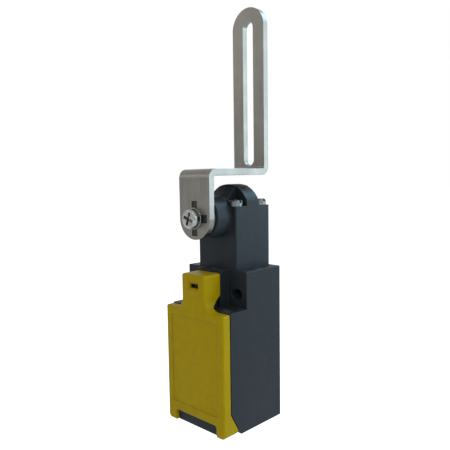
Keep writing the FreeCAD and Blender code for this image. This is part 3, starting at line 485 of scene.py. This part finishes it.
class SWITCH_OT_works(bpy.types.Operator):
    """Finish what lies inside: cam, ram, contacts, springs and seals"""
    bl_idname = "switch.works"
    bl_label = "Inner Works"

    def execute(self, context):
        colours, sizes = context.scene.switch_colours, context.scene.switch_sizes
        radius = sizes.edge_radius
        dress(plastic_finish("Acetal", colours.acetal, sizes, roughness=0.34, bump=0.10, dust=0.0), "cam", "ram")
        dress(plastic_finish("Contact moulding", colours.moulding, sizes, roughness=0.48, dust=0.05),
              "contact_carrier", "terminal_block", "contact_chamber")
        dress(plated_finish("Contact brass", colours.brass, radius, roughness=0.28), "break_bridge", "make_bridge",
              "break_contact_left", "break_contact_right", "make_contact_left", "make_contact_right")
        dress(plated_finish("Bush bronze", colours.bronze, radius, roughness=0.40), "shaft_bush")
        dress(plated_finish("Spring wire", colours.wire, radius, roughness=0.30), "ram_spring", "return_spring",
              "break_contact_spring", "make_contact_spring", "shaft_clip")
        dress(rubber_finish("Seal rubber", colours.rubber), "cover_seal", "head_gasket", "shaft_seal")
        return {"FINISHED"}


# ------------------------------------------------------------------ stage
def lamp(name, watts, place, aim, size, colour=WHITE[:3], beam=math.pi):
    """Soft rectangular lamp that looks at its aim; a narrow beam keeps the light near it."""
    data = bpy.data.lights.new(name, "AREA")
    data.shape, data.energy, data.color, data.spread = "RECTANGLE", watts, colour, beam
    data.size, data.size_y = size
    light = bpy.data.objects.new(name, data)
    turn = (Vector(aim) - Vector(place)).to_track_quat("-Z", "Y")
    light.matrix_world = Matrix.Translation(place) @ turn.to_matrix().to_4x4()
    bpy.context.scene.collection.objects.link(light)


def behind_rays(tree):
    """Share of rays that come from the camera or off a shiny or clear surface."""
    path = add(tree, "ShaderNodeLightPath")
    seen = maths(tree, "MAXIMUM", path.outputs["Is Camera Ray"], path.outputs["Is Glossy Ray"])
    return maths(tree, "MAXIMUM", seen, path.outputs["Is Transmission Ray"])


def floor_finish(glow):
    """Pale floor that reads as white behind the switch and keeps its shadow."""
    material, tree, shader, coords = new_finish("Pale floor")
    tone = blend(tree, noise(tree, coords, scale=3.0), (0.86, 0.86, 0.86, 1.0), (0.90, 0.90, 0.90, 1.0))
    feed(tree, shader, Base_Color=tone, Roughness=0.8, Specular_IOR_Level=0.1, Emission_Color=WHITE,
         Emission_Strength=part_of(tree, behind_rays(tree), glow))
    arrange(tree)
    return material


def studio_world(sky):
    """White surroundings that light the switch with the sky's strength only."""
    world = bpy.data.worlds.new("Studio")
    world.use_nodes = True
    tree = world.node_tree
    tree.nodes.clear()
    background = add(tree, "ShaderNodeBackground")
    feed(tree, background, Color=WHITE, Strength=spread(tree, behind_rays(tree), (0.0, 1.0), (sky, 1.0)))
    tree.links.new(background.outputs["Background"], add(tree, "ShaderNodeOutputWorld").inputs["Surface"])
    arrange(tree)
    return world


class SWITCH_OT_stage(bpy.types.Operator):
    """Lay the floor, hang the lamps, light the world and set up the camera"""
    bl_idname = "switch.stage"
    bl_label = "Stage"

    floor_half = 4.0
    sensor = 36.0
    nearest = 0.01

    def execute(self, context):
        scene, studio = context.scene, context.scene.switch_studio
        mesh = bmesh.new()
        bmesh.ops.create_grid(mesh, x_segments=1, y_segments=1, size=self.floor_half,
                              matrix=Matrix.Translation((0, 0, cad_box[0].z - studio.floor_drop)))
        finished_object("floor", mesh, floor_finish(studio.glow))
        scene.world = studio_world(studio.sky)

        lamp("Key", studio.key, (0.31, 0.27, 0.17), (0, -0.01, 0.16), (0.30, 0.34), (0.66, 0.84, 1.0),
             beam=math.radians(70))
        lamp("Side", studio.side, (0.38, -0.12, 0.12), (0, -0.02, 0.02), (0.25, 0.25), (0.84, 1.0, 0.90))
        lamp("Fill", studio.fill, (0.10, -0.55, 0.40), (0, -0.01, 0.03), (0.50, 0.50))
        lamp("Back", studio.back, (0.12, 0.36, 0.40), (0, -0.01, 0.03), (0.25, 0.25), (0.42, 0.74, 1.0))
        lamp("Accent", studio.accent, (-0.38, -0.34, 0.24), (0, -0.02, 0.04), (0.15, 0.15))

        data = bpy.data.cameras.new("Camera")
        data.sensor_width, data.lens, data.clip_start = self.sensor, studio.lens, self.nearest
        data.shift_x, data.shift_y = studio.shift_x, studio.shift_y
        camera = bpy.data.objects.new("Camera", data)
        camera.matrix_world = (
            Matrix.Translation(studio.place) @ Matrix.Rotation(studio.azimuth, 4, "Z")
            @ Matrix.Rotation(math.pi / 2 - studio.elevation, 4, "X") @ Matrix.Rotation(studio.roll, 4, "Z"))
        scene.collection.objects.link(camera)
        scene.camera = camera
        scene.view_settings.view_transform = "Standard"
        return {"FINISHED"}


# ------------------------------------------------------------------ add-on
class SWITCH_PT_panel(bpy.types.Panel):
    """Lists the steps and the settings they use"""
    bl_idname = "SWITCH_PT_panel"
    bl_label = "Safety Switch"
    bl_space_type = "VIEW_3D"
    bl_region_type = "UI"
    bl_category = "Switch"

    def draw(self, context):
        for step in STEPS:
            self.layout.operator(step.bl_idname)
        for name, group in SETTINGS.items():
            box = self.layout.box()
            for key in group.__annotations__:
                box.prop(getattr(context.scene, name), key)


STEPS = (SWITCH_OT_enclosure, SWITCH_OT_head, SWITCH_OT_cover, SWITCH_OT_lever, SWITCH_OT_works, SWITCH_OT_stage)
SETTINGS = {"switch_colours": SwitchColours, "switch_sizes": SwitchSizes, "switch_studio": SwitchStudio}


def register():
    for cls in (*SETTINGS.values(), *STEPS, SWITCH_PT_panel):
        bpy.utils.register_class(cls)
    for name, group in SETTINGS.items():
        setattr(bpy.types.Scene, name, bpy.props.PointerProperty(type=group))


def unregister():
    for name in SETTINGS:
        delattr(bpy.types.Scene, name)
    for cls in (SWITCH_PT_panel, *reversed(STEPS), *reversed(SETTINGS.values())):
        bpy.utils.unregister_class(cls)


def main():
    register()
    bpy.ops.switch.enclosure()
    bpy.ops.switch.head()
    bpy.ops.switch.cover()
    bpy.ops.switch.lever()
    bpy.ops.switch.works()
    bpy.ops.switch.stage()


if __name__ == "__main__":
    main()
